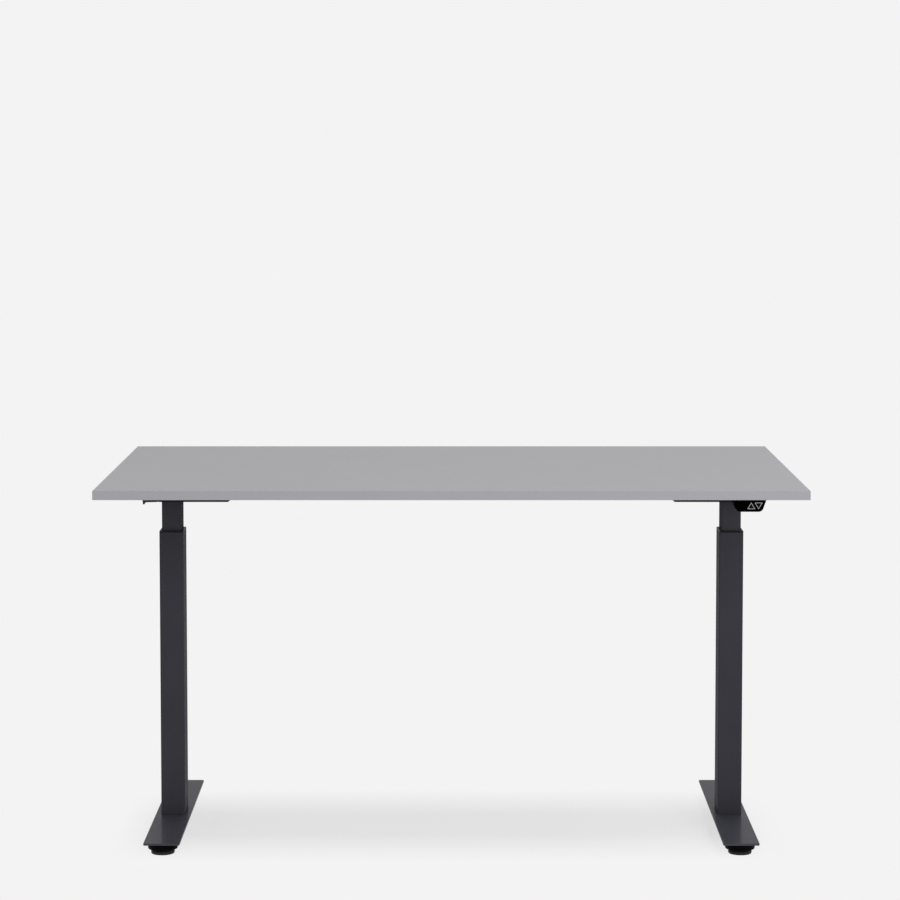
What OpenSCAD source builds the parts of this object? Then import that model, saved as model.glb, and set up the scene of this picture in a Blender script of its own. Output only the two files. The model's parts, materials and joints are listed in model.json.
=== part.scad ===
// Height adjustable desk on two telescopic columns.
// Each column is a rectangular tube sliding in another, lifted by a spindle turning in a fixed nut.
// Millimetres. Origin on the floor below the middle of the desktop, +Z up, front at -Y.

/* [Desktop] */
// Width of the desktop from left to right
desk_w = 1400; // [1300:10:1800]
// Depth of the desktop from front to back
desk_d = 800; // [720:10:900]
// Thickness of the desktop
desk_t = 18; // [16:1:30]
// Height of the upper face above the floor, as drawn
desk_h = 755; // [705:5:800]
// Thickness of the edge bands
band_t = 2; // [1:0.5:3]

/* [Columns] */
// Distance from each end of the desktop to its column's axis
leg_inset = 117; // [100:1:200]
// Width of the lower tube, across the desk
outer_w = 50; // [48:1:60]
// Depth of the lower tube, front to back
outer_d = 70; // [60:1:80]
// Length of the lower tube
outer_len = 595; // [560:5:620]
// Width of the upper tube, across the desk
inner_w = 40; // [38:1:42]
// Length of the upper tube
inner_len = 587; // [560:1:590]
// Wall of both tubes
tube_wall = 1.5; // [1.2:0.1:2]
// Corner radius outside both tubes
tube_r = 3; // [2.5:0.1:5]
// Gap on each side between sliding faces
slide_gap = 0.2; // [0.1:0.05:0.4]
// Height of the visible lip of the guide collar
lip_h = 3; // [2:0.5:6]
// Length of the guide sleeve inside the lower tube
sleeve_len = 50; // [30:5:60]
// Length of the slider round the lower end of the upper tube
slider_len = 40; // [25:5:45]
// Height of the slider's rim under the upper tube
slider_rim = 3; // [2:0.5:5]

/* [Spindle drive] */
// Diameter of the spindle
spindle_d = 12; // [10:1:14]
// Length of the spindle below the head tray
spindle_len = 587; // [560:1:590]
// Length of the spindle's journal above the head tray's underside
journal_len = 26; // [18:1:30]
// Running gap round the spindle
run_gap = 0.06; // [0.04:0.01:0.1]
// Diameter of the stop ring at the spindle's lower end
stop_d = 15; // [14.5:0.1:15.5]
// Height of the stop ring
stop_h = 5; // [3:0.5:8]
// Outside diameter of the push tube that carries the nut
push_d = 22; // [20:1:24]
// Bore of the push tube
push_bore = 17; // [16:0.5:18]
// Length of the push tube
push_len = 511; // [490:1:515]
// Depth of the push tube's seat in the column's foot
push_seat = 4; // [2:0.5:6]
// Diameter of the nut's flange
nut_d = 28; // [25:1:30]
// Thickness of the nut's flange
nut_flange = 8; // [5:1:12]
// Height of the nut above the push tube
nut_h = 30; // [20:1:40]
// Length of the nut's spigot inside the push tube
spigot_len = 12; // [8:1:14]
// Outside diameter of the spindle bearing
bearing_d = 28; // [24:1:30]
// Height of the spindle bearing
bearing_h = 8; // [6:1:10]

/* [Feet] */
// Length of a foot plate from front to back
foot_len = 565; // [500:5:700]
// Width of a foot plate
foot_w = 73; // [66:1:90]
// Thickness of a foot plate
foot_t = 4; // [3:0.5:6]
// Corner radius of a foot plate
foot_r = 4; // [2:0.5:10]
// Distance from the foot's end to the centre of a glide
glide_inset = 35; // [33:1:60]
// Diameter of a glide's adjusting wheel
wheel_d = 60; // [54:1:64]
// Height of a glide's adjusting wheel
wheel_h = 13; // [11:0.5:16]
// Wall of the adjusting wheel
wheel_wall = 2.5; // [2:0.25:4]
// Diameter of a glide's pad
pad_d = 47.5; // [42:0.5:50]
// Height of a glide's pad
pad_h = 8; // [7:0.5:11]
// Thickness of the pad under the wheel's hub
pad_floor = 3; // [2:0.5:4]
// Height of the gap between wheel and pad
pad_gap = 2; // [1.5:0.5:4]
// Diameter of the wheel's hub
hub_d = 24; // [20:1:28]
// Diameter of the levelling stud
stud_d = 10; // [8:1:12]
// Length of the levelling stud
stud_len = 17; // [12:0.5:18]
// Thickness of the block that closes the lower tube's foot
insert_t = 10; // [8:1:12]
// Pitch of the four foot screws
foot_screw_pitch = 32; // [30:1:34]
// Diameter of the foot screws
foot_screw_d = 6; // [5:0.5:6]

/* [Head trays and frame] */
// Reach of a head tray towards the middle of the desk
head_in = 120; // [112:1:130]
// Reach of a head tray towards the end of the desk
head_out = 28; // [27:1:34]
// Width of a head tray from front to back
head_w = 84; // [84:1:100]
// Height of a head tray
head_h = 50; // [49:1:60]
// Sheet thickness of the head trays and side arms
sheet_t = 2.5; // [2:0.25:3]
// Bend radius outside the head trays
sheet_r = 5; // [4:0.5:8]
// Width of the screw flanges of trays and arms
flange_w = 22; // [18:1:26]
// Length of a side arm
arm_len = 600; // [500:10:600]
// Depth of a side arm near its ends
arm_tip_h = 23; // [18:1:30]
// Height of the slanted corner at a side arm's ends
arm_cut = 13; // [6:1:15]
// Length of the straight stretch at a side arm's ends
arm_straight = 45; // [20:5:80]
// Width of a beam rail
rail_w = 20; // [16:1:22]
// Height of a beam rail
rail_h = 40; // [30:1:42]
// Wall of a beam rail
rail_wall = 1.5; // [1.2:0.1:2]
// Gap between the beam rails and the desktop
rail_drop = 2; // [1:0.5:4]
// Thickness of the plates at the beam's ends
plate_t = 3; // [2:0.5:5]

/* [Gear motors] */
// Diameter of a motor
motor_d = 42; // [36:1:42]
// Length of a motor with its end cap
motor_len = 76; // [60:1:78]
// Distance of a motor's axis behind the spindle's axis
motor_offset = 17.5; // [14:0.5:18]
// Reach of a gearbox towards the end of the desk
gearbox_out = 20; // [18:0.5:20]
// Length of a gearbox
gearbox_l = 48; // [44:1:48]
// Height of a gearbox
gearbox_h = 42; // [40:1:45]

/* [Control box] */
// Length of the control box
control_l = 230; // [200:5:280]
// Depth of the control box from front to back
control_d = 96; // [92:1:120]
// Height of the control box
control_h = 36; // [32:1:45]
// Wall of the control box
control_wall = 2.5; // [2:0.25:3]
// Gap between the head trays' line and the control box
control_gap = 30; // [10:1:60]
// Thickness of the control box's lid
lid_t = 2.5; // [2:0.5:4]

/* [Handset] */
// Distance from the desktop's right end to the handset's middle
handset_inset = 118.5; // [100:0.5:250]
// Width of the handset at the desktop
handset_w = 66; // [65:1:90]
// Height of the handset at its front
handset_h = 23.5; // [22:0.5:30]
// Height of the handset at its back
handset_back_h = 13; // [12:0.5:16]
// Depth of the handset from front to back
handset_d = 50; // [40:1:54]
// Slope of the handset's sides, across per unit of height
handset_slope = 0.35; // [0.1:0.05:0.4]
// Radius of the handset's lower corners
handset_r = 10; // [6:0.5:11]
// Wall of the handset
handset_wall = 2; // [1.5:0.25:2.5]
// Thickness of the handset's mounting plate
handset_plate_t = 2; // [1.5:0.5:3]
// Distance of the handset's face behind the desktop's front edge
handset_setback = 5; // [2:1:10]
// Width between the corner centres of a key
key_w = 13.4; // [11:0.2:14]
// Height between the corner centres of a key
key_h = 11.5; // [10:0.5:12]
// Corner radius of a key
key_r = 1.5; // [1:0.1:1.8]
// Distance between the centres of the two keys
key_pitch = 14.2; // [13.8:0.1:15]
// Height that a key stands proud of the handset
key_proud = 0.5; // [0.3:0.1:1]
// Travel of a key
key_travel = 0.8; // [0.5:0.1:1.2]

/* [Hidden] */

$fn = 48;

left = -1;
right = 1;
front = -1;
back = 1;
sides = [left, right];
ends = [front, back];

// Overshoot that lets a cut pass cleanly through a face, and one that keeps two forms from just touching
over = 1;
hair = 0.0005;
// Gap round a screw in its hole, and round a piece that is pressed or slipped into a seat
screw_gap = 0.1;
seat_gap = 0.05;

// Levels, from the floor up
foot_z = pad_h + pad_gap + wheel_h;
base_z = foot_z + foot_t;
push_z = base_z + insert_t - push_seat;
nut_z = push_z + push_len;
collar_z = base_z + outer_len;
under_z = desk_h - desk_t;
head_z = under_z - head_h;
inner_z = head_z - inner_len;
gearbox_z = head_z + sheet_t;

// Places across the desk
leg_x = desk_w / 2 - leg_inset;
glide_y = foot_len / 2 - glide_inset;
handset_x = desk_w / 2 - handset_inset;
face_y = -desk_d / 2 + handset_setback;

// Sizes of the tubes and their bores, width and depth
all_round = [1, 1];
outer_size = [outer_w, outer_d];
inner_size = outer_size - (outer_w - inner_w) * all_round;
outer_bore = outer_size - 2 * tube_wall * all_round;
inner_bore = inner_size - 2 * tube_wall * all_round;
bore_r = tube_r - tube_wall;

// Beam between the head trays
beam_x = leg_x - head_in - plate_t;
rail_y = head_w / 2 - rail_w / 2 - 4;

// Screws that hold the gearboxes to the head trays
gearbox_screw_pitch = 26;
gearbox_screw_r = 2.5;
gearbox_screw_head_r = 4;
gearbox_screw_head_h = 3;
gearbox_screw_bite = 12;

// Bolts and nuts that hold the arms and the beam to the head trays
bolt_r = 3;
bolt_head_r = 5.5;
bolt_head_h = 4;
bolt_edge = 13;
beam_bolt_pitch = 18;
arm_bolt_ys = [for (e = ends) e * (head_w / 2 - bolt_edge)];
arm_bolt_z = under_z - bolt_edge;
beam_bolt_ys = [for (e = ends) e * beam_bolt_pitch / 2];
beam_bolt_zs = [head_z + bolt_edge, under_z - bolt_edge];

// Wood screws
screw_r = 2.2;
screw_head_r = 4.4;
screw_head_h = 2.4;
screw_bite = desk_t - 5;
arm_screw_x = leg_x + head_out + sheet_t + flange_w / 2;
arm_screw_end = 20;
arm_screw_ys = [for (e = ends, share = [0.45, 1]) e * share * (arm_len / 2 - arm_screw_end)];
tray_screw_end = 16;
tray_screw_xs = [leg_x - head_in + tray_screw_end, leg_x + head_out - tray_screw_end];
tray_screw_y = head_w / 2 + flange_w / 2;

// Control box
control_y = head_w / 2 + control_gap;
control_z = under_z - lid_t - control_h;
control_r = 5;
ear = 14;
socket = [12, 13, 10];
socket_hole_w = 9;
socket_hole_h = 6;
socket_depth = 10;
socket_end = 14;
socket_pitch = 18;
socket_ys = [for (i = [0:2]) control_y + socket_end + socket_pitch * i];
socket_z = control_z + control_h / 2;
inlet_w = 28;
inlet_h = 20;
inlet_l = 20;
inlet_rim = 3;
inlet_rim_t = 2;
inlet_hole_w = 24;
inlet_hole_h = 16;
inlet_depth = 15;
inlet_end = 24;
inlet_y = control_y + control_d - inlet_end;
circuit_t = 1.6;
circuit_post = 5;
board_end = 40;
board_side = 10;
board_w = control_l - 2 * board_end;
board_d = control_d - 2 * board_side;
post_edge = 5;
transformer = [42, 38, 18];
relay = [20, 16, 14];
relay_pitch = 28;
capacitor_r = 7;
capacitor_h = 16;
capacitor_pitch = 20;

// Handset
key_x = handset_x + 3.5;
key_z = under_z - 11.7;
key_gap = 0.25;
key_stop = 1;
key_flange = 0.8;
key_pin_r = 2;
key_pin_len = 2;
front_wall = 2.5;
switch_r = 3;
switch_h = 1.5;
circuit_y = face_y + front_wall + seat_gap + key_stop + key_pin_len + key_travel
    + seat_gap + switch_h;
handset_board_inset = 10;
handset_post_xs = [-20, -8];
handset_board_h = 12;
lead_hole_w = 12;
lead_hole_h = 6;
lead_hole_z = under_z - handset_plate_t - lead_hole_h / 2 - 1.5;

// Every wood screw: x, y and the thickness of what it clamps to the desktop
screw_places = concat(
    [for (s = sides, y = arm_screw_ys) [s * arm_screw_x, y, sheet_t]],
    [for (s = sides, x = tray_screw_xs, e = ends) [s * x, e * tray_screw_y, sheet_t]],
    [for (s = sides, e = ends)
        [s * (control_l + ear) / 2, control_y + control_d * (2 + e) / 4, lid_t]],
    [for (s = sides)
        [handset_x + s * handset_w / 4, face_y + handset_d + ear / 2, handset_plate_t]]
);

// ---- Forms shared by several pieces ----

// Convex outline with an arc of radius r about each centre, centres anticlockwise.
// A slanted edge runs a hair inside its tangent, so that it crosses both arcs cleanly.
module round_outline(centres, r) {
    n = len(centres);
    polygon([for (i = [0:n - 1])
        let (a = centres[i], b = centres[(i + 1) % n], d = b - a, u = [d.y, -d.x] / norm(d),
            reach = r - (u.x * u.y == 0 ? 0 : hair))
        each [a + reach * u, b + reach * u]]);
    for (c = centres) translate(c) circle(r);
}

// Rectangle with rounded corners, centred
module round_rect(w, d, r) {
    x = w / 2 - r;
    y = d / 2 - r;
    round_outline([[-x, -y], [x, -y], [x, y], [-x, y]], r);
}

// Upright bar with rounded corners, its size given as width and depth
module bar(size, r, length) {
    linear_extrude(length) round_rect(size[0], size[1], r);
}

// Upright tube with rounded corners
module tube(size, bore, length) {
    difference() {
        bar(size, tube_r, length);
        translate([0, 0, -over]) bar(bore, bore_r, length + 2 * over);
    }
}

// Children drawn in the Y-Z plane, from x0 to x1
module along_x(x0, x1) {
    translate([x0, 0, 0]) rotate([90, 0, 90]) linear_extrude(x1 - x0) children();
}

// Children drawn in the X-Z plane, from y0 to y1
module along_y(y0, y1) {
    translate([0, y1, 0]) rotate([90, 0, 0]) linear_extrude(y1 - y0) children();
}

// Cylinder along X from x0 to x1
module rod_x(r, x0, x1) {
    translate([x0, 0, 0]) rotate([0, 90, 0]) cylinder(r = r, h = x1 - x0);
}

// Children as drawn on the right, or mirrored to the left
module on_side(side) {
    mirror([side < 0 ? 1 : 0, 0, 0]) children();
}

// Children at the column's axis on one side
module at_column(side, z) {
    on_side(side) translate([leg_x, 0, z]) children();
}

// Children at the four corners of a square
module at_corners(pitch) {
    for (x = sides, y = ends) translate([x * pitch / 2, y * pitch / 2, 0]) children();
}

// ---- Feet ----

// Countersunk screw, its flat head on z = 0 and its tip up
module foot_screw() {
    r = foot_screw_d / 2;
    cylinder(r1 = 2 * r, r2 = r, h = r);
    translate([0, 0, r]) cylinder(r = r, h = foot_t + insert_t - push_seat - r);
}

// Hole for a foot screw, open on z = 0
module foot_screw_hole() {
    r = foot_screw_d / 2 + screw_gap;
    translate([0, 0, -over]) cylinder(r1 = 2 * r + over, r2 = r, h = r + over);
    cylinder(r = r, h = foot_t + insert_t + over);
}

// Steel plate with countersunk holes and two levelling studs welded under it
module foot_plate(side) {
    bevel = 1;
    color("dimgray") at_column(side, foot_z) {
        difference() {
            linear_extrude(foot_t) round_rect(foot_w, foot_len, foot_r);
            at_corners(foot_screw_pitch) foot_screw_hole();
        }
        for (e = ends) translate([0, e * glide_y, -stud_len]) {
            cylinder(r1 = stud_d / 2 - bevel, r2 = stud_d / 2, h = bevel);
            translate([0, 0, bevel]) cylinder(d = stud_d, h = stud_len - bevel);
        }
    }
}

// Screws from below through the foot plates into the columns
module foot_screws() {
    color("silver") for (s = sides)
        at_column(s, foot_z) at_corners(foot_screw_pitch) foot_screw();
}

// Block welded into the foot of the lower tube, with the push tube's seat
module column_insert(side) {
    color("gray") at_column(side, base_z) difference() {
        bar(outer_bore, bore_r, insert_t);
        at_corners(foot_screw_pitch) translate([0, 0, -foot_t]) foot_screw_hole();
        translate([0, 0, -over]) cylinder(d = push_bore - 2, h = insert_t + 2 * over);
        translate([0, 0, insert_t - push_seat]) cylinder(d = push_d + 2 * seat_gap, h = insert_t);
    }
}

// Pad that stands on the floor, with a socket for the wheel's hub
module glide_pad(side, end) {
    edge = 1.2;
    r = pad_d / 2;
    socket_r = hub_d / 2 + 0.4;
    color("black") at_column(side, 0) translate([0, end * glide_y, 0]) rotate_extrude()
        polygon([[0, 0], [r - edge, 0], [r, edge], [r, pad_h - 2 * edge],
            [r - 2 * edge, pad_h], [socket_r, pad_h], [socket_r, pad_floor], [0, pad_floor]]);
}

// Wheel that is turned by hand on the levelling stud to raise or lower the foot
module glide_wheel(side, end) {
    edge = 1.5;
    r = wheel_d / 2;
    rim_z = pad_h + pad_gap;
    bore = stud_d / 2 + seat_gap;
    bore_z = foot_z - stud_len - 1;
    roof_z = foot_z - wheel_wall;
    color("black") at_column(side, 0) translate([0, end * glide_y, 0]) rotate_extrude()
        polygon([[0, pad_floor], [hub_d / 2, pad_floor], [hub_d / 2, roof_z],
            [r - wheel_wall, roof_z], [r - wheel_wall, rim_z], [r - edge, rim_z],
            [r, rim_z + edge], [r, foot_z], [bore, foot_z], [bore, bore_z], [0, bore_z]]);
}

// ---- Columns ----

// Lower tube, standing on the foot plate
module outer_tube(side) {
    color("#37363b") at_column(side, base_z) tube(outer_size, outer_bore, outer_len);
}

// Guide collar: a lip on the lower tube's edge and a sleeve inside it
module guide_collar(side) {
    bore = inner_size + 2 * slide_gap * all_round;
    color("#101012") at_column(side, collar_z) difference() {
        union() {
            bar(outer_size, tube_r, lip_h);
            translate([0, 0, -sleeve_len]) bar(outer_bore, bore_r, sleeve_len);
        }
        translate([0, 0, -sleeve_len - over])
            bar(bore, tube_r + slide_gap, sleeve_len + lip_h + 2 * over);
    }
}

// Upper tube, hanging from the head tray
module inner_tube(side) {
    color("#2d2c32") at_column(side, inner_z) tube(inner_size, inner_bore, inner_len);
}

// Plastic slider round the upper tube's lower end, running in the lower tube
module slider(side) {
    color("#e8e6dc") at_column(side, inner_z) difference() {
        translate([0, 0, -slider_rim])
            bar(outer_bore - 2 * slide_gap * all_round, tube_r, slider_len + slider_rim);
        bar(inner_size, tube_r, slider_len + over);
        translate([0, 0, -slider_rim - over]) bar(inner_bore, bore_r, slider_len);
    }
}

// Round tube that stands in the column and carries the nut
module push_tube(side) {
    color("lightgray") at_column(side, push_z) difference() {
        cylinder(d = push_d, h = push_len);
        translate([0, 0, -over]) cylinder(d = push_bore, h = push_len + 2 * over);
    }
}

// Flanged nut that the spindle climbs in
module spindle_nut(side) {
    step = 5;
    color("goldenrod") at_column(side, nut_z) difference() {
        union() {
            cylinder(d = nut_d, h = nut_flange);
            cylinder(d = nut_d - step, h = nut_h);
            translate([0, 0, -spigot_len])
                cylinder(d = push_bore - 2 * seat_gap, h = spigot_len + over);
        }
        translate([0, 0, -spigot_len - over])
            cylinder(d = spindle_d + 2 * run_gap, h = spigot_len + nut_h + 2 * over);
    }
}

// Spindle with a stop ring below and its journal in the gearbox above
module spindle(side) {
    bevel = 1;
    top = spindle_len + journal_len;
    color("silver") at_column(side, head_z - spindle_len) {
        cylinder(r1 = stop_d / 2 - bevel, r2 = stop_d / 2, h = bevel);
        translate([0, 0, bevel]) cylinder(d = stop_d, h = stop_h - bevel);
        cylinder(d = spindle_d, h = top - bevel);
        translate([0, 0, top - bevel])
            cylinder(r1 = spindle_d / 2, r2 = spindle_d / 2 - bevel, h = bevel);
    }
}

// ---- Head trays and drives ----

// Pressed tray that holds the drive, with screw flanges at front and back
module head_tray(side) {
    length = head_in + head_out;
    mid = (head_out - head_in) / 2;
    spindle_room = 6;
    color("#222126") at_column(side, head_z) difference() {
        union() {
            translate([mid, 0, 0]) linear_extrude(head_h) round_rect(length, head_w, sheet_r);
            translate([mid, 0, head_h - sheet_t]) linear_extrude(sheet_t)
                round_rect(length, head_w + 2 * flange_w, sheet_r);
        }
        translate([mid, 0, sheet_t]) linear_extrude(head_h)
            round_rect(length - 2 * sheet_t, head_w - 2 * sheet_t, sheet_r - sheet_t);
        translate([0, 0, -over]) cylinder(d = spindle_d + spindle_room, h = sheet_t + 2 * over);
        at_corners(gearbox_screw_pitch) translate([0, 0, -over])
            cylinder(r = gearbox_screw_r + screw_gap, h = sheet_t + 2 * over);
        for (x = tray_screw_xs, e = ends)
            translate([x - leg_x, e * tray_screw_y, head_h - sheet_t - over])
                cylinder(r = screw_r + screw_gap, h = sheet_t + 2 * over);
        for (y = arm_bolt_ys) translate([0, y, arm_bolt_z - head_z])
            rod_x(bolt_r + screw_gap, head_out - sheet_t - over, head_out + over);
        for (y = beam_bolt_ys, z = beam_bolt_zs) translate([0, y, z - head_z])
            rod_x(bolt_r + screw_gap, -head_in - over, -head_in + sheet_t + over);
    }
}

// Cast gearbox: a block over the spindle and a barrel behind it for the motor's worm
module gearbox(side) {
    x0 = gearbox_out - gearbox_l;
    wheel_r = 24;
    barrel_r = 15;
    rim_t = 4;
    flat = 6;
    color("#8d8f92") at_column(side, gearbox_z) difference() {
        union() {
            linear_extrude(gearbox_h) intersection() {
                circle(wheel_r);
                translate([x0, -wheel_r]) square([gearbox_l, 2 * wheel_r]);
            }
            translate([x0, flat - wheel_r, 0]) cube([gearbox_l, motor_offset + wheel_r, gearbox_h]);
            translate([0, motor_offset, gearbox_h / 2])
                rod_x(barrel_r, x0, gearbox_out);
            translate([0, motor_offset, gearbox_h / 2]) rod_x(gearbox_h / 2, x0, x0 + rim_t);
        }
        translate([0, 0, -over]) cylinder(d = bearing_d, h = bearing_h + over);
        cylinder(d = spindle_d + 2 * run_gap, h = journal_len + over);
        at_corners(gearbox_screw_pitch) translate([0, 0, -over])
            cylinder(r = gearbox_screw_r + seat_gap, h = gearbox_screw_bite + 2 * over);
    }
}

// Screws from below that hold the gearboxes in the trays
module gearbox_screws() {
    color("silver") for (s = sides) at_column(s, head_z) at_corners(gearbox_screw_pitch) {
        translate([0, 0, -gearbox_screw_head_h])
            cylinder(r = gearbox_screw_head_r, h = gearbox_screw_head_h);
        cylinder(r = gearbox_screw_r, h = sheet_t + gearbox_screw_bite);
    }
}

// Motor can with a stepped end cap and a gland for its lead
module motor(side) {
    x1 = gearbox_out - gearbox_l;
    x0 = x1 - motor_len;
    cap = 10;
    cap_step = 2;
    boss = 3;
    gland_r = 4;
    gland_out = 4;
    color("#303236") at_column(side, gearbox_z + gearbox_h / 2)
        translate([0, motor_offset, 0]) {
            rod_x(motor_d / 2, x0 + cap, x1);
            rod_x(motor_d / 2 - cap_step, x0 + boss, x0 + cap);
            rod_x(motor_d / 4, x0, x0 + boss);
            translate([x0 + cap + gland_r + boss, -motor_d / 2 - gland_out, 0]) rotate([-90, 0, 0])
                cylinder(r = gland_r, h = motor_d / 2);
        }
}

// Bearing that carries the desk's weight on the spindle: two rings and a shield
module bearing(side) {
    bore = spindle_d / 2 + run_gap;
    r = bearing_d / 2;
    ring = (r - bore) / 3;
    dip = 0.6;
    color("lightsteelblue") at_column(side, gearbox_z) rotate_extrude()
        polygon([[bore, 0], [bore + ring, 0], [bore + ring, dip], [r - ring, dip],
            [r - ring, 0], [r, 0], [r, bearing_h], [r - ring, bearing_h],
            [r - ring, bearing_h - dip], [bore + ring, bearing_h - dip],
            [bore + ring, bearing_h], [bore, bearing_h]]);
}

// ---- Frame ----

// Side arm: an upright web that gets shallower to its ends, and a screw flange on top
module side_arm(side) {
    web_x = head_out;
    end = arm_len / 2;
    cut_y = end - arm_cut;
    flat_y = end - arm_straight;
    color("#222126") at_column(side, under_z) difference() {
        union() {
            along_x(web_x, web_x + sheet_t) polygon([
                [-end, 0], [-end, arm_cut - arm_tip_h], [-cut_y, -arm_tip_h],
                [-flat_y, -arm_tip_h], [-head_w / 2, -head_h], [head_w / 2, -head_h],
                [flat_y, -arm_tip_h], [cut_y, -arm_tip_h], [end, arm_cut - arm_tip_h],
                [end, 0]]);
            translate([web_x, -end, -sheet_t]) cube([sheet_t + flange_w, arm_len, sheet_t]);
        }
        for (y = arm_bolt_ys) translate([0, y, arm_bolt_z - under_z])
            rod_x(bolt_r + screw_gap, web_x - over, web_x + sheet_t + over);
        for (y = arm_screw_ys) translate([arm_screw_x - leg_x, y, -sheet_t - over])
            cylinder(r = screw_r + screw_gap, h = sheet_t + 2 * over);
    }
}

// Rectangular tube from one beam plate to the other
module beam_rail(end) {
    color("#222126") translate([0, end * rail_y, under_z - rail_drop - rail_h / 2])
        along_x(-beam_x, beam_x) difference() {
            round_rect(rail_w, rail_h, 2 * rail_wall);
            round_rect(rail_w - 2 * rail_wall, rail_h - 2 * rail_wall, rail_wall);
        }
}

// Plate that closes the beam's end and is bolted to the head tray
module beam_plate(side) {
    height = head_h - 2 * rail_drop;
    color("#222126") on_side(side) difference() {
        translate([beam_x, 0, under_z - head_h / 2]) along_x(0, plate_t)
            round_rect(head_w - 2 * rail_drop, height, 4);
        for (y = beam_bolt_ys, z = beam_bolt_zs) translate([0, y, z])
            rod_x(bolt_r + screw_gap, beam_x - over, beam_x + plate_t + over);
    }
}

// Hexagon bolt and nut along X, clamping from x0 to x1
module bolt_x(x0, x1) {
    rod_x(bolt_r, x0, x1);
    for (x = [x0 - bolt_head_h, x1]) translate([x, 0, 0]) rotate([0, 90, 0])
        cylinder(r = bolt_head_r, h = bolt_head_h, $fn = 6);
}

// Bolts that join the arms and the beam to the head trays
module frame_bolts() {
    web_x = leg_x + head_out;
    color("silver") for (s = sides) on_side(s) {
        for (y = arm_bolt_ys) translate([0, y, arm_bolt_z])
            bolt_x(web_x - sheet_t, web_x + sheet_t);
        for (y = beam_bolt_ys, z = beam_bolt_zs) translate([0, y, z])
            bolt_x(beam_x, beam_x + plate_t + sheet_t);
    }
}

// ---- Desktop ----

// Board with a blind hole for every wood screw
module desktop_board() {
    w = desk_w - 2 * band_t;
    d = desk_d - 2 * band_t;
    tip_room = 0.5;
    color("#a9a9ad") difference() {
        translate([-w / 2, -d / 2, under_z]) cube([w, d, desk_t]);
        for (p = screw_places) translate([p.x, p.y, under_z - over])
            cylinder(r = screw_r + seat_gap, h = screw_bite + over + tip_room);
    }
}

// Band along the front or back edge, over the ends of the side bands
module long_edge_band(end) {
    color("#9d9ca2") translate([-desk_w / 2, end > 0 ? desk_d / 2 - band_t : -desk_d / 2, under_z])
        cube([desk_w, band_t, desk_t]);
}

// Band along the left or right edge
module side_edge_band(side) {
    d = desk_d - 2 * band_t;
    color("#9d9ca2") translate([side > 0 ? desk_w / 2 - band_t : -desk_w / 2, -d / 2, under_z])
        cube([band_t, d, desk_t]);
}

// Pan-head screws that hold the frame, the control box and the handset under the desktop
module desktop_screws() {
    color("silver") for (p = screw_places) translate([p.x, p.y, under_z - p.z]) {
        translate([0, 0, -screw_head_h]) cylinder(r = screw_head_r, h = screw_head_h);
        cylinder(r = screw_r, h = p.z + screw_bite);
    }
}

// ---- Control box ----

// Children in the control box's own frame: middle of its floor, +X towards the sockets
module at_control() {
    translate([0, control_y + control_d / 2, control_z]) children();
}

// Open box with posts for the circuit and openings in its socket end
module control_case() {
    post_r = 4;
    root = 0.1;
    x = control_l / 2 - control_wall;
    color("#1c1c1f") {
        difference() {
            at_control() linear_extrude(control_h) round_rect(control_l, control_d, control_r);
            at_control() translate([0, 0, control_wall]) linear_extrude(control_h)
                round_rect(2 * x, control_d - 2 * control_wall, control_r - control_wall);
            for (y = socket_ys) translate([x - over, y, socket_z]) along_x(0, control_wall + 2 * over)
                square([socket_hole_w, socket_hole_h], center = true);
            translate([x - over, inlet_y, socket_z]) along_x(0, control_wall + 2 * over)
                square([inlet_w + 2 * screw_gap, inlet_h + 2 * screw_gap], center = true);
        }
        at_control() for (s = sides, e = ends)
            translate([s * (board_w / 2 - post_edge), e * (board_d / 2 - post_edge),
                control_wall - root]) cylinder(r = post_r, h = circuit_post + root);
    }
}

// Lid against the desktop, with a screw ear at each end
module control_lid() {
    color("#1c1c1f") difference() {
        translate([0, control_y + control_d / 2, under_z - lid_t]) linear_extrude(lid_t)
            round_rect(control_l + 2 * ear, control_d, control_r);
        for (p = screw_places) translate([p.x, p.y, under_z - lid_t - over])
            cylinder(r = screw_r + screw_gap, h = lid_t + 2 * over);
    }
}

// Circuit board with its transformer, capacitors and relays
module control_circuit() {
    top = circuit_t;
    first = 8;
    color("seagreen") at_control() translate([0, 0, control_wall + circuit_post]) {
        translate([-board_w / 2, -board_d / 2, 0]) cube([board_w, board_d, circuit_t]);
        translate([2 * post_edge - board_w / 2, 2 * post_edge - board_d / 2, top]) cube(transformer);
        for (i = [0:2]) translate([first + capacitor_pitch * i, -board_d / 4, top])
            cylinder(r = capacitor_r, h = capacitor_h);
        for (i = [0:1]) translate([relay_pitch * i, board_d / 8, top]) cube(relay);
    }
}

// Three sockets for the leads of the motors and the handset, behind the case's end
module control_sockets() {
    x = control_l / 2 - control_wall;
    color("#3a3a3f") for (y = socket_ys) translate([x, y, socket_z]) difference() {
        translate([-socket.x, -socket.y / 2, -socket.z / 2]) cube(socket);
        along_x(-socket_depth, over) square([socket_hole_w, socket_hole_h], center = true);
    }
}

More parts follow.
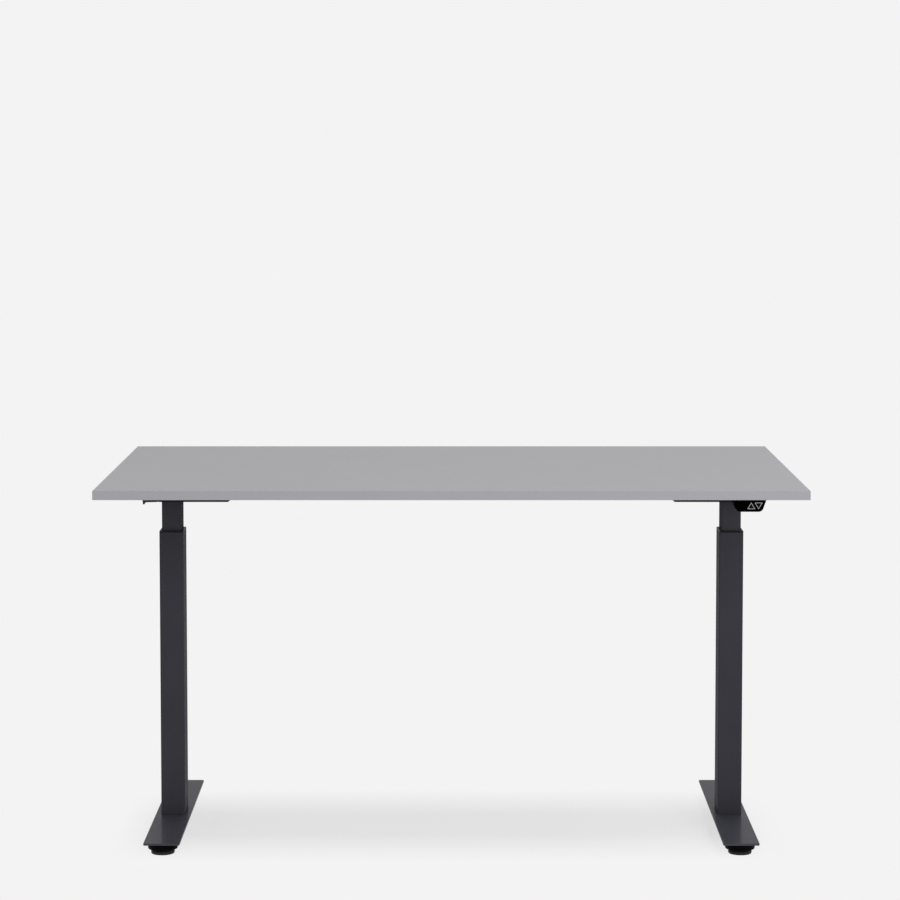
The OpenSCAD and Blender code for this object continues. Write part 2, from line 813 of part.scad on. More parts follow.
// Appliance inlet with three blades
module power_inlet() {
    x = control_l / 2;
    blade_w = 4;
    blade_t = 2;
    blade_short = 3;
    blade_l = inlet_depth - blade_short;
    line_x = 7;
    line_z = -3.5;
    earth_z = 4.5;
    color("#141416") translate([x, inlet_y, socket_z]) {
        difference() {
            union() {
                along_x(-inlet_l, 0) square([inlet_w, inlet_h], center = true);
                along_x(0, inlet_rim_t)
                    round_rect(inlet_w + 2 * inlet_rim, inlet_h + 2 * inlet_rim, 2);
            }
            along_x(inlet_rim_t - inlet_depth, inlet_rim_t + over)
                square([inlet_hole_w, inlet_hole_h], center = true);
        }
        for (p = [[-line_x, line_z], [0, earth_z], [line_x, line_z]])
            translate([inlet_rim_t - inlet_depth - over, p.x - blade_t / 2, p.y - blade_w / 2])
                cube([blade_l + over, blade_t, blade_w]);
    }
}

// ---- Handset ----

// Solid form of the handset, every face but the upper one moved in by inset
module handset_form(inset) {
    drop = handset_h - handset_back_h;
    lift = inset * sqrt(1 + pow(drop / handset_d, 2));
    top_x = handset_w / 2 - inset * sqrt(1 + pow(handset_slope, 2));
    r = handset_r - inset;
    side = sqrt(1 + pow(handset_slope, 2));
    low_z = -handset_h + inset + r;
    low_x = top_x + handset_slope * low_z - r * side;
    high_x = low_x + handset_slope * handset_h;
    translate([handset_x, face_y, under_z]) intersection() {
        along_y(inset, handset_d - inset) intersection() {
            round_outline([[-low_x, low_z], [low_x, low_z],
                [high_x, low_z + handset_h], [-high_x, low_z + handset_h]], r);
            translate([-handset_w, -2 * handset_h]) square([2 * handset_w, 2 * handset_h]);
        }
        along_x(-handset_w, handset_w) polygon([[0, over], [0, lift - handset_h],
            [handset_d, lift - handset_back_h], [handset_d, over]]);
    }
}

// Outline of a key, its point up (1) or down (-1), grown by a margin
module key_outline(point, margin) {
    tip = [0, point * key_h / 2];
    base = -point * key_h / 2;
    round_outline([[-point * key_w / 2, base], [point * key_w / 2, base], tip], key_r + margin);
}

// Children at the place of the key that points up (1) or down (-1), in the X-Z plane
module at_key(point) {
    translate([point > 0 ? key_x : key_x + key_pitch, 0, key_z]) children();
}

// Moulded case, open at the top, with key holes in its face and posts for the circuit
module handset_case() {
    inner_y = face_y + front_wall;
    post_r = 2.5;
    root = 0.1;
    color("#0a0a0b") {
        difference() {
            intersection() {
                handset_form(0);
                translate([handset_x - handset_w, face_y, under_z - handset_h - over])
                    cube([2 * handset_w, handset_d, handset_h + over - handset_plate_t]);
            }
            intersection() {
                handset_form(handset_wall);
                translate([handset_x - handset_w, inner_y, under_z - handset_h])
                    cube([2 * handset_w, handset_d, handset_h + over]);
            }
            for (point = [1, -1]) at_key(point)
                along_y(face_y - over, inner_y + over) key_outline(point, key_gap);
            translate([handset_x, 0, lead_hole_z])
                along_y(face_y + handset_d - 2 * handset_wall, face_y + handset_d + over)
                    square([lead_hole_w, lead_hole_h], center = true);
        }
        for (x = handset_post_xs) translate([handset_x + x, 0, key_z])
            along_y(inner_y - root, circuit_y) circle(post_r);
    }
}

// Plate that closes the case and is screwed under the desktop behind it
module handset_plate() {
    tab_w = handset_w - 4;
    color("#0a0a0b") difference() {
        union() {
            intersection() {
                handset_form(0);
                translate([handset_x - handset_w, face_y, under_z - handset_plate_t])
                    cube([2 * handset_w, handset_d, handset_plate_t]);
            }
            translate([handset_x - tab_w / 2, face_y + handset_d - over, under_z - handset_plate_t])
                cube([tab_w, ear + over, handset_plate_t]);
        }
        for (p = screw_places) translate([p.x, p.y, under_z - handset_plate_t - over])
            cylinder(r = screw_r + screw_gap, h = handset_plate_t + 2 * over);
    }
}

// Circuit board behind the keys, with one dome switch for each
module handset_circuit() {
    w = handset_w - 2 * handset_board_inset;
    color("seagreen") {
        translate([handset_x - w / 2, circuit_y, key_z - handset_board_h / 2])
            cube([w, circuit_t, handset_board_h]);
        for (point = [1, -1]) at_key(point)
            along_y(circuit_y - switch_h, circuit_y) circle(switch_r);
    }
}

// Three-cornered key with a stop flange behind the case's face and a pin for its switch
module key(point) {
    flange_y = face_y + front_wall + seat_gap;
    pin_y = flange_y + key_stop;
    color("#141416") at_key(point) {
        along_y(face_y - key_proud, flange_y + key_stop) key_outline(point, 0);
        along_y(flange_y, pin_y) key_outline(point, key_flange);
        along_y(pin_y, pin_y + key_pin_len) circle(key_pin_r);
    }
}

// ---- The pieces ----

foot_plate(left);  // left_foot_plate
foot_plate(right);  // right_foot_plate
column_insert(left);  // left_column_insert
column_insert(right);  // right_column_insert
foot_screws();
outer_tube(left);  // left_outer_tube
outer_tube(right);  // right_outer_tube
guide_collar(left);  // left_guide_collar
guide_collar(right);  // right_guide_collar
push_tube(left);  // left_push_tube
push_tube(right);  // right_push_tube
spindle_nut(left);  // left_spindle_nut
spindle_nut(right);  // right_spindle_nut
glide_pad(left, front);  // front_left_pad
glide_pad(right, front);  // front_right_pad
glide_pad(left, back);  // back_left_pad
glide_pad(right, back);  // back_right_pad
glide_wheel(left, front);  // front_left_wheel
glide_wheel(right, front);  // front_right_wheel
glide_wheel(left, back);  // back_left_wheel
glide_wheel(right, back);  // back_right_wheel
inner_tube(left);  // left_inner_tube
inner_tube(right);  // right_inner_tube
slider(left);  // left_slider
slider(right);  // right_slider
head_tray(left);  // left_head_tray
head_tray(right);  // right_head_tray
gearbox(left);  // left_gearbox
gearbox(right);  // right_gearbox
gearbox_screws();
motor(left);  // left_motor
motor(right);  // right_motor
bearing(left);  // left_bearing
bearing(right);  // right_bearing
spindle(left);  // left_spindle
spindle(right);  // right_spindle
side_arm(left);  // left_arm
side_arm(right);  // right_arm
beam_rail(front);  // front_rail
beam_rail(back);  // back_rail
beam_plate(left);  // left_beam_plate
beam_plate(right);  // right_beam_plate
frame_bolts();
desktop_board();
long_edge_band(front);  // front_edge_band
long_edge_band(back);  // back_edge_band
side_edge_band(left);  // left_edge_band
side_edge_band(right);  // right_edge_band
desktop_screws();
control_case();
control_lid();
control_circuit();
control_sockets();
power_inlet();
handset_case();
handset_plate();
handset_circuit();
key(1);  // up_key
key(-1);  // down_key
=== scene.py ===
"""Height adjustable standing desk: soft edges, finishes, light and camera over its solid parts."""

import json
import logging
import math
from dataclasses import dataclass
from enum import Enum
from typing import Callable, Iterable, Optional, Sequence, Union

import bmesh
import bpy
from bmesh.types import BMEdge, BMesh, BMFace, BMVert
from mathutils import Matrix, Vector

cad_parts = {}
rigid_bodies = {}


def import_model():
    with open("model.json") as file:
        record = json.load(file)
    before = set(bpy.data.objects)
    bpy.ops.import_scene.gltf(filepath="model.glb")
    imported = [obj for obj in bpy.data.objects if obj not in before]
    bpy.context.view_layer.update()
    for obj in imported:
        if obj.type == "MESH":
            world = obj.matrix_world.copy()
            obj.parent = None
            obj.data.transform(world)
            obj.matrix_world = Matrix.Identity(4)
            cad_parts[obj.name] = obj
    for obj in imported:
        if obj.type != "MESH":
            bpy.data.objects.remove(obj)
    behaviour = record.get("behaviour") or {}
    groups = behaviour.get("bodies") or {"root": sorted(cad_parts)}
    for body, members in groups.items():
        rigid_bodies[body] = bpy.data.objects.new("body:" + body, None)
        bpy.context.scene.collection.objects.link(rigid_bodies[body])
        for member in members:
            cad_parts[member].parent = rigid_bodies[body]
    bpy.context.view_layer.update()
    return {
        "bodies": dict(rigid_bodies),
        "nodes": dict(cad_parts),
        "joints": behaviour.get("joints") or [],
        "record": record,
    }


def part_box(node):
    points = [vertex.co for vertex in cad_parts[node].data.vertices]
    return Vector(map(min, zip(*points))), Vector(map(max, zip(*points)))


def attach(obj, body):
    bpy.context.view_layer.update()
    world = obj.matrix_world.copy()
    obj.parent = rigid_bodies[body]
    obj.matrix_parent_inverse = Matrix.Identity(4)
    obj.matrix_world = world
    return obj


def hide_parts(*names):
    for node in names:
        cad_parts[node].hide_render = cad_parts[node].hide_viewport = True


log = logging.getLogger("standing_desk")

MM = 0.001

Socket = bpy.types.NodeSocket
Node = bpy.types.Node
Material = bpy.types.Material
Pair = tuple[float, float]
Point = tuple[float, float, float]
Colour = tuple[float, float, float, float]
Box = tuple[Vector, Vector]
Outline = Sequence[Pair]

# How near points lie, in metres, where they count as one place or one plane, or are welded
SAME_PLACE = 1e-6
SAME_PLANE = 1e-5
WELD = 2e-6
# Edges flatter than the first are dissolved, sharper than the second rounded, and edges sharper
# than the third stay hard
FLAT_DEGREES = 0.6
EDGE_DEGREES = 35.0
CREASE_DEGREES = 40.0
# Faces that meet at more than this angle, in radians, stand about square to each other
SQUARE_TURN = 1.0
# A face whose normal rises by more than this share lies level
LEVEL_SHARE = 0.9


class Named(Enum):
    """A choice whose members stand in the names of pieces."""

    @property
    def word(self) -> str:
        """The member as it stands in names."""
        return self.name.lower()


class Side(Named):
    """Which of the two columns a piece belongs to."""

    LEFT = -1
    RIGHT = 1


class End(Named):
    """Which end of a foot, or which long side of the desktop, a piece belongs to."""

    FRONT = -1
    BACK = 1


class Key(Named):
    """A key of the handset, and which way up its print points."""

    UP = 1
    DOWN = -1


def linear(colour: str) -> Colour:
    """Turns a written colour into the values that a shader takes.

    Args:
        colour: Six hexadecimal digits, as a paint chart gives them.

    Returns:
        Linear red, green and blue, and an alpha of 1.
    """
    full, start, slope, offset, power = 255, 0.04045, 12.92, 0.055, 2.4
    parts = [int(colour[i : i + 2], 16) / full for i in (0, 2, 4)]
    red, green, blue = (
        p / slope if p <= start else ((p + offset) / (1 + offset)) ** power for p in parts
    )
    return red, green, blue, 1.0


# ---- Shader graphs ----


class Graph:
    """The node tree of a material or of the surround, built a node at a time."""

    # Where a Mix node keeps its factor, its two colours and the colour that comes out
    colour_inputs = (0, 6, 7)
    colour_output = 2

    def __init__(self, owner: bpy.types.ID) -> None:
        """Starts an empty tree.

        Args:
            owner: The new material or world.
        """
        owner.use_nodes = True
        self.owner = owner
        self.tree = owner.node_tree
        self.tree.nodes.clear()

    def feed(self, socket: Socket, value: object) -> None:
        """Links an input, or sets its value.

        Args:
            socket: The input.
            value: An output socket, or the value itself.
        """
        if isinstance(value, Socket):
            self.tree.links.new(value, socket)
        else:
            socket.default_value = value

    def feed_all(self, sockets: Iterable[Socket], values: Iterable[object]) -> None:
        """Feeds inputs in order, as many as there are values."""
        for socket, value in zip(sockets, values):
            self.feed(socket, value)

    def add(self, kind: str, settings: Optional[dict] = None, **inputs: object) -> Node:
        """Adds a node.

        Args:
            kind: The node's type, without the ShaderNode prefix.
            settings: Properties of the node itself.
            **inputs: Values or sockets for its inputs, by name, with _ for a space.

        Returns:
            The new node.
        """
        node = self.tree.nodes.new("ShaderNode" + kind)
        for key, value in (settings or {}).items():
            setattr(node, key, value)
        for key, value in inputs.items():
            self.feed(node.inputs[key.replace("_", " ")], value)
        return node

    def place(self) -> Socket:
        """Position on the piece, in metres."""
        return self.add("TexCoord").outputs["Object"]

    def calc(self, operation: str, *values: object) -> Socket:
        """A Math node's result.

        Args:
            operation: The Math node's operation.
            *values: Its numbers or sockets, in order.

        Returns:
            The output socket.
        """
        node = self.add("Math", {"operation": operation})
        self.feed_all(node.inputs, values)
        return node.outputs[0]

    def noise(self, size: float, detail: float = 2.0, rough: float = 0.5,
              stretch: Point = (1, 1, 1)) -> Socket:
        """Noise between 0 and 1.

        Args:
            size: Rough size of a grain, in metres.
            detail: Octaves of finer noise in it.
            rough: How strong those octaves are.
            stretch: How many times finer the grain is along each axis.

        Returns:
            The noise's value.
        """
        where = self.add("Mapping", Vector=self.place(), Scale=[s / size for s in stretch])
        return self.add("TexNoise", Vector=where.outputs[0], Scale=1.0, Detail=detail,
                        Roughness=rough).outputs["Fac"]

    def span(self, value: Socket, low: float, high: float, start: float = 0.3,
             stop: float = 0.7) -> Socket:
        """A value mapped from start..stop to low..high, and held there."""
        return self.add("MapRange", Value=value, From_Min=start, From_Max=stop, To_Min=low,
                        To_Max=high).outputs["Result"]

    def blend(self, factor: Socket, one: object, other: object) -> Socket:
        """Mixes two colours.

        Args:
            factor: The other colour's share.
            one: The colour where the factor is 0.
            other: The colour where the factor is 1.

        Returns:
            The mixed colour.
        """
        node = self.add("Mix", {"data_type": "RGBA"})
        self.feed_all((node.inputs[k] for k in self.colour_inputs), (factor, one, other))
        return node.outputs[self.colour_output]

    def blend_shaders(self, factor: Socket, one: Node, other: Node) -> Socket:
        """Mixes two shaders.

        Args:
            factor: The other shader's share.
            one: The shader where the factor is 0.
            other: The shader where the factor is 1.

        Returns:
            The mixed shader.
        """
        node = self.add("MixShader")
        self.feed_all(node.inputs, (factor, one.outputs[0], other.outputs[0]))
        return node.outputs[0]

    def relief(self, height: Socket, depth: float) -> Socket:
        """The bent normal of a skin that rises by depth, in metres, where height is 1."""
        return self.add("Bump", Height=height, Distance=depth, Strength=1.0).outputs[0]

    def finish(self, surface: Socket) -> Material:
        """Links the shader to the output and returns the material."""
        self.add("OutputMaterial", Surface=surface)
        return self.owner

    def principled(self, **inputs: object) -> Material:
        """Ends the tree with a Principled shader that has those inputs."""
        return self.finish(self.add("BsdfPrincipled", **inputs).outputs[0])


# ---- Finishes ----


@dataclass(frozen=True)
class Finish:
    """A surface finish: its name, the record's slot, its colour and how rough it is.

    In each kind, sizes are in metres. Its colour drifts by tint either way, as a share, its
    roughness by patch, and its relief rises by depth.
    """

    name: str
    slot: str
    colour: str
    roughness: float
    tint: float = 0.07
    patch: float = 0.05
    depth: float = 0.00001

    def material(self) -> Material:
        """The finish's material, made the first time that it is asked for."""
        known = bpy.data.materials.get(self.name)
        return known or self.make(Graph(bpy.data.materials.new(self.name)))

    def make(self, graph: Graph) -> Material:
        """Builds the material; each kind of finish has its own way."""
        raise NotImplementedError

    def tinted(self, graph: Graph, value: Socket) -> Socket:
        """The finish's colour, varied with a value.

        Args:
            graph: The material's graph.
            value: 0 where the colour is darkest, 1 where it is lightest.

        Returns:
            The colour.
        """
        base = linear(self.colour)
        low = [c * (1 - self.tint) for c in base[:3]] + [1.0]
        high = [c * (1 + self.tint) for c in base[:3]] + [1.0]
        return graph.blend(value, low, high)

    def drifting(self, graph: Graph, noise: Socket) -> Socket:
        """The finish's colour, varied with a noise."""
        return self.tinted(graph, graph.span(noise, 0.0, 1.0))

    def uneven(self, graph: Graph, value: Socket) -> Socket:
        """The finish's roughness, varied with a value."""
        return graph.span(value, self.roughness - self.patch, self.roughness + self.patch)

    def skin(self, graph: Graph, colour: Socket, dull: Socket, height: Socket,
             **inputs: object) -> Material:
        """Ends the graph with this finish's roughness and relief.

        Args:
            graph: The material's graph.
            colour: The colour.
            dull: 0 where the surface is smoothest, 1 where it is roughest.
            height: 1 where it is raised.
            **inputs: The shader's other inputs.

        Returns:
            The material.
        """
        return graph.principled(Base_Color=colour, Roughness=self.uneven(graph, dull),
                                Normal=graph.relief(height, self.depth), **inputs)


@dataclass(frozen=True)
class PowderCoat(Finish):
    """Baked powder paint on steel: a fine pebbled skin, a little gloss over a soft base."""

    grain: float = 0.0007
    depth: float = 0.000012
    shine: float = 0.12
    gloss: float = 0.16
    gloss_roughness: float = 0.14
    drift: float = 0.12
    patch: float = 0.04

    def make(self, graph: Graph) -> Material:
        """Builds the paint: colour drift, pebbled relief and a thin gloss coat.

        Args:
            graph: The empty graph.

        Returns:
            The material.
        """
        drift = graph.noise(self.drift, detail=3.0)
        pebble = graph.noise(self.grain, rough=0.55)
        return self.skin(graph, self.drifting(graph, drift), drift, pebble,
                         Specular_IOR_Level=self.shine, Coat_Weight=self.gloss,
                         Coat_Roughness=self.gloss_roughness)


@dataclass(frozen=True)
class Melamine(Finish):
    """Grey melamine paper pressed on the board: faint mottle and a fine matt emboss."""

    grain: float = 0.0009
    tint: float = 0.03
    shine: float = 0.3
    fleck: float = 0.0016
    fleck_share: float = 0.7
    cloud: float = 0.09
    patch: float = 0.04

    def make(self, graph: Graph) -> Material:
        """Builds the laminate: two sizes of mottle, uneven gloss and an embossed skin.

        Args:
            graph: The empty graph.

        Returns:
            The material.
        """
        fleck = graph.noise(self.fleck, detail=4.0, rough=0.6)
        cloud = graph.noise(self.cloud)
        mix = graph.calc("ADD", graph.calc("MULTIPLY", fleck, self.fleck_share),
                         graph.calc("MULTIPLY", cloud, 1 - self.fleck_share))
        emboss = graph.noise(self.grain, detail=3.0, rough=0.6)
        return self.skin(graph, self.drifting(graph, mix), fleck, emboss,
                         Specular_IOR_Level=self.shine)


@dataclass(frozen=True)
class Moulded(Finish):
    """Moulded plastic with a spark-eroded skin."""

    grain: float = 0.0005
    shine: float = 0.4
    flow: float = 0.03
    tint: float = 0.08

    def make(self, graph: Graph) -> Material:
        """Builds the plastic: a faint colour drift, flow marks in the gloss and a fine grain.

        Args:
            graph: The empty graph.

        Returns:
            The material.
        """
        flow = graph.noise(self.flow)
        grain = graph.noise(self.grain, rough=0.6)
        return self.skin(graph, self.drifting(graph, flow), flow, grain,
                         Specular_IOR_Level=self.shine)


@dataclass(frozen=True)
class Plated(Finish):
    """Plated or turned metal: bright, with fine tool marks along one axis."""

    marks: Point = (1, 1, 12)
    mark: float = 0.002
    depth: float = 0.000004
    bloom: float = 0.012
    tint: float = 0.06
    patch: float = 0.08

    def make(self, graph: Graph) -> Material:
        """Builds the metal: tool marks in its gloss and relief, and a faint bloom.

        Args:
            graph: The empty graph.

        Returns:
            The material.
        """
        bloom = graph.noise(self.bloom, detail=3.0)
        tool = graph.noise(self.mark, stretch=self.marks)
        return self.skin(graph, self.drifting(graph, bloom), tool, tool, Metallic=1.0)


@dataclass(frozen=True)
class Cast(Finish):
    """Die-cast metal with a dull, slightly pitted skin."""

    metal: float = 0.8
    wave: float = 0.008
    pit: float = 0.0012
    depth: float = 0.00003
    tint: float = 0.1
    patch: float = 0.07

    def make(self, graph: Graph) -> Material:
        """Builds the casting: pits, soft waves and an uneven dull gloss.

        Args:
            graph: The empty graph.

        Returns:
            The material.
        """
        wave = graph.noise(self.wave, detail=3.0)
        pit = graph.noise(self.pit, detail=3.0, rough=0.65)
        return self.skin(graph, self.drifting(graph, wave), pit, pit, Metallic=self.metal)


@dataclass(frozen=True)
class LeadScrew(Finish):
    """Turned spindle with its trapezoidal thread shown as relief round one axis."""

    axis_x: float = 0.0
    pitch: float = 0.006
    depth: float = 0.0008
    flank: Pair = (0.17, 0.33)
    # Here tint sets how deep the painted shade in the thread's roots and the painted highlight on
    # its crests go
    tint: float = 0.12

    def make(self, graph: Graph) -> Material:
        """Builds the thread: a ramp that climbs a pitch in each turn, cut to flat crests.

        Args:
            graph: The empty graph.

        Returns:
            The material.
        """
        part = graph.add("SeparateXYZ", Vector=graph.place())
        turn = graph.calc("DIVIDE", graph.calc("ARCTAN2", part.outputs[1], graph.calc(
            "SUBTRACT", part.outputs[0], self.axis_x)), 2 * math.pi)
        climb = graph.calc("DIVIDE", part.outputs[2], self.pitch)
        saw = graph.calc("FRACT", graph.calc("SUBTRACT", climb, turn))
        crest = graph.calc("ABSOLUTE", graph.calc("SUBTRACT", saw, 0.5))
        thread = graph.span(crest, 0.0, 1.0, *self.flank)
        # The colour follows the thread: painted shade in its roots and a painted highlight on its
        # crests
        return self.skin(graph, self.tinted(graph, thread), thread, thread, Metallic=1.0)


@dataclass(frozen=True)
class CircuitBoard(Finish):
    """Solder mask with copper tracks under it and tinned pads."""

    track_gap: float = 0.0004
    track_length: float = 0.011
    track_pitch: float = 0.0032
    pads_per_metre: float = 260.0
    pad_edge: Pair = (0.18, 0.24)
    tin: Colour = (0.55, 0.55, 0.52, 1)
    depth: float = 0.00004
    tint: float = 0.2

    def make(self, graph: Graph) -> Material:
        """Builds the board: tracks as a lifted, lighter pattern and small bright pads.

        Args:
            graph: The empty graph.

        Returns:
            The material.
        """
        tracks = graph.add("TexBrick", {"offset": 0.5}, Vector=graph.place(), Scale=1.0,
                           Color1=(1, 1, 1, 1), Color2=(1, 1, 1, 1), Mortar=(0, 0, 0, 1),
                           Mortar_Size=self.track_gap, Brick_Width=self.track_length,
                           Row_Height=self.track_pitch).outputs["Fac"]
        dots = graph.add("TexVoronoi", Vector=graph.place(), Scale=self.pads_per_metre,
                         Randomness=0.3)
        pad = graph.span(dots.outputs["Distance"], 1.0, 0.0, *self.pad_edge)
        colour = graph.blend(pad, self.tinted(graph, tracks), self.tin)
        return self.skin(graph, colour, tracks, tracks, Metallic=pad)


# Name, the record's slot, colour and roughness, then what differs from its kind
COLUMN_PAINT = PowderCoat("column_powder_coat", "column_steel", "35353b", 0.72, shine=0.04,
                          gloss=0.02)
SLIDE_PAINT = PowderCoat("upper_tube_coat", "column_steel", "3a3a40", 0.9, shine=0.01,
                         gloss=0.0)
FOOT_PAINT = PowderCoat("foot_powder_coat", "column_steel", "3b3b43", 0.5, shine=0.04,
                        gloss=0.155)
# The frame's coat is darker than the columns': partly its own black, partly painted shade for the
# shade under the desktop
FRAME_PAINT = PowderCoat("frame_powder_coat", "frame_steel", "161619", 0.6, shine=0.08,
                         gloss=0.08)
MOTOR_COAT = PowderCoat("motor_can_coat", "motor_can", "242427", 0.42)
LAMINATE = Melamine("grey_melamine", "desktop_laminate", "9c9b9f", 0.5)
BAND = Melamine("grey_edge_band", "edge_band", "97979c", 0.46, grain=0.0006, tint=0.02)
GUIDE_PLASTIC = Moulded("black_acetal", "guide_plastic", "070708", 0.5, shine=0.2)
# The wheel is darker than the pad of the same glide plastic: partly its own black, partly painted
# shade for the shade under the foot plate
WHEEL_PLASTIC = Moulded("black_wheel_polyamide", "glide_plastic", "030303", 0.6, shine=0.04)
PAD_PLASTIC = Moulded("black_pad_plastic", "glide_plastic", "202021", 0.55, shine=0.12)
CONTROL_PLASTIC = Moulded("black_control_plastic", "control_plastic", "18181a", 0.5)
HANDSET_PLASTIC = Moulded("black_handset_plastic", "handset_plastic", "010101", 0.9, shine=0.01)
KEY_PLASTIC = Moulded("black_key_plastic", "key_plastic", "020202", 0.65, shine=0.06)
KEY_PRINT = Moulded("pale_key_print", "key_plastic", "9c9c9e", 0.6, grain=0.0003)
NYLON = Moulded("natural_nylon", "pale_nylon", "dcdacf", 0.45)
ZINC = Plated("zinc_plate", "bright_steel", "b4b5b8", 0.34)
BRASS = Plated("turned_brass", "brass", "c8a056", 0.3)
CASTING = Cast("cast_aluminium", "cast_housing", "8f9194", 0.55)
BOARD = CircuitBoard("solder_mask", "circuit_board", "1c5530", 0.4)


# ---- Modelling ----


def spots(item: Union[BMVert, BMEdge, BMFace]) -> list[tuple[float, ...]]:
    """Where a point lies, or where the points of an edge or a face lie, in order."""
    return sorted(tuple(v.co) for v in getattr(item, "verts", (item,)))


def mesh_of(name: str, bm: BMesh) -> bpy.types.Mesh:
    """Mesh data made of a bmesh, put in the order of its places so that each run is the same.

    Args:
        name: The data's name.
        bm: The bmesh, which is freed.

    Returns:
        The data.
    """
    for items in (bm.verts, bm.edges, bm.faces):
        for number, item in enumerate(sorted(items, key=spots)):
            item.index = number
        items.sort()
    mesh = bpy.data.meshes.new(name)
    bm.to_mesh(mesh)
    bm.free()
    return mesh


def placed(name: str, data: bpy.types.ID) -> bpy.types.Object:
    """Stands data in the scene as a new object.

    Args:
        name: The object's name.
        data: A mesh, lamp or camera.

    Returns:
        The object.
    """
    thing = bpy.data.objects.new(name, data)
    bpy.context.scene.collection.objects.link(thing)
    return thing


def block(low: Sequence[float], high: Sequence[float]) -> BMesh:
    """A box between two corners.

    Args:
        low: Its lowest corner, in metres.
        high: Its highest corner, in metres.

    Returns:
        The box as a bmesh.
    """
    low, high = Vector(low), Vector(high)
    bm = bmesh.new()
    bmesh.ops.create_cube(bm, size=1.0)
    bmesh.ops.scale(bm, vec=high - low, verts=bm.verts)
    bmesh.ops.translate(bm, vec=(low + high) / 2, verts=bm.verts)
    return bm


def axis_point(low: Vector, high: Vector, z: float) -> Vector:
    """The middle of a box seen from above, at a height."""
    return Vector(((low.x + high.x) / 2, (low.y + high.y) / 2, z))


def round_turns(sides: int) -> list[Pair]:
    """Cosine and sine of each corner of a regular form, from the X axis round."""
    turns = (math.radians(360 / sides * k) for k in range(sides))
    return [(math.cos(turn), math.sin(turn)) for turn in turns]


def round_off(bm: BMesh, edges: Iterable[BMEdge], radius: float, segments: int = 2) -> None:
    """Rounds some edges off.

    Args:
        bm: The mesh that they belong to.
        edges: The edges.
        radius: How far the rounding reaches from each edge, in metres.
        segments: Strips across the rounding.
    """
    bmesh.ops.bevel(bm, geom=list(edges), offset=radius, offset_type="OFFSET", segments=segments,
                    profile=0.5, affect="EDGES", clamp_overlap=True, material=-1)


def edges_where(bm: BMesh, test: Callable[[Vector, Vector], bool]) -> list[BMEdge]:
    """The edges whose two ends pass a test."""
    return [e for e in bm.edges if test(e.verts[0].co, e.verts[1].co)]


def upright(a: Vector, b: Vector) -> bool:
    """Whether an edge stands along Z."""
    return abs(a.z - b.z) > SAME_PLANE and (a - b).xy.length < SAME_PLACE


def level_rims(bm: BMesh) -> list[BMEdge]:
    """The level edges where two faces stand about square to each other."""
    return [e for e in edges_where(bm, lambda a, b: abs(a.z - b.z) < SAME_PLACE)
            if len(e.link_faces) == 2 and e.calc_face_angle() > SQUARE_TURN]


def sharp(bm: BMesh, degrees: float) -> list[BMEdge]:
    """The outward edges whose faces turn by more than an angle."""
    return [e for e in bm.edges if len(e.link_faces) == 2 and e.is_convex
            and e.calc_face_angle() > math.radians(degrees)]


def lathe(profile: Outline, centre: Vector, steps: int = 64) -> BMesh:
    """A turned form round an upright axis.

    Args:
        profile: Radius and height of each point, in metres, from the axis and back to it.
        centre: A point on the axis, which heights are counted from.
        steps: Facets round the axis.

    Returns:
        The closed form as a bmesh.
    """
    bm = bmesh.new()
    verts = [bm.verts.new(centre + Vector((r, 0, z))) for r, z in profile]
    edges = [bm.edges.new(pair) for pair in zip(verts, verts[1:])]
    bmesh.ops.spin(bm, geom=verts + edges, cent=centre, axis=(0, 0, 1), dvec=(0, 0, 0),
                   angle=2 * math.pi, steps=steps, use_merge=True, use_duplicate=False)
    bmesh.ops.remove_doubles(bm, verts=bm.verts, dist=SAME_PLACE)
    bmesh.ops.recalc_face_normals(bm, faces=bm.faces)
    return bm


def ring(bm: BMesh, centre: Vector, radius: float, steps: int = 32) -> list[BMEdge]:
    """Adds a level circle of edges.

    Args:
        bm: The mesh that it goes into.
        centre: Its middle.
        radius: Its radius, in metres.
        steps: Edges round it.

    Returns:
        Its edges.
    """
    made = bmesh.ops.create_circle(bm, cap_ends=False, segments=steps, radius=radius,
                                   matrix=Matrix.Translation(centre))
    return list({e for v in made["verts"] for e in v.link_edges})


def move_points(bm: BMesh, made: Iterable[object], by: Point) -> None:
    """Moves the points among what an operator made."""
    bmesh.ops.translate(bm, vec=by, verts=[v for v in made if isinstance(v, BMVert)])


def take_in(whole: BMesh, part: BMesh) -> None:
    """Adds one mesh to another, and frees it.

    Args:
        whole: The mesh that grows.
        part: The mesh that goes into it.
    """
    mesh = mesh_of("passing", part)
    whole.from_mesh(mesh)
    bpy.data.meshes.remove(mesh)


def merged_copy(node: bpy.types.Object) -> BMesh:
    """A part's solid as a joined mesh, with its flat faces whole again.

    Args:
        node: The solid part, which stays as it is.

    Returns:
        The joined mesh.
    """
    bm = bmesh.new()
    bm.from_mesh(node.data)
    bmesh.ops.remove_doubles(bm, verts=bm.verts, dist=WELD)
    bmesh.ops.dissolve_limit(bm, angle_limit=math.radians(FLAT_DEGREES), verts=bm.verts,
                             edges=bm.edges, use_dissolve_boundaries=False)
    return bm


def islands(node: bpy.types.Object) -> list[Box]:
    """The box of each separate solid in a part, from left to right and front to back.

    Args:
        node: The solid part.

    Returns:
        The lowest and highest corner of each solid.
    """
    bm = merged_copy(node)
    left = set(bm.verts)
    boxes = []
    while left:
        reached, edge = set(), {left.pop()}
        while edge:
            reached |= edge
            edge = {e.other_vert(v) for v in edge for e in v.link_edges} - reached
        left -= reached
        spans = [[v.co[i] for v in reached] for i in range(3)]
        boxes.append((Vector(map(min, spans)), Vector(map(max, spans))))
    bm.free()
    return sorted(boxes, key=lambda box: [round(c / SAME_PLANE) for c in box[0]])


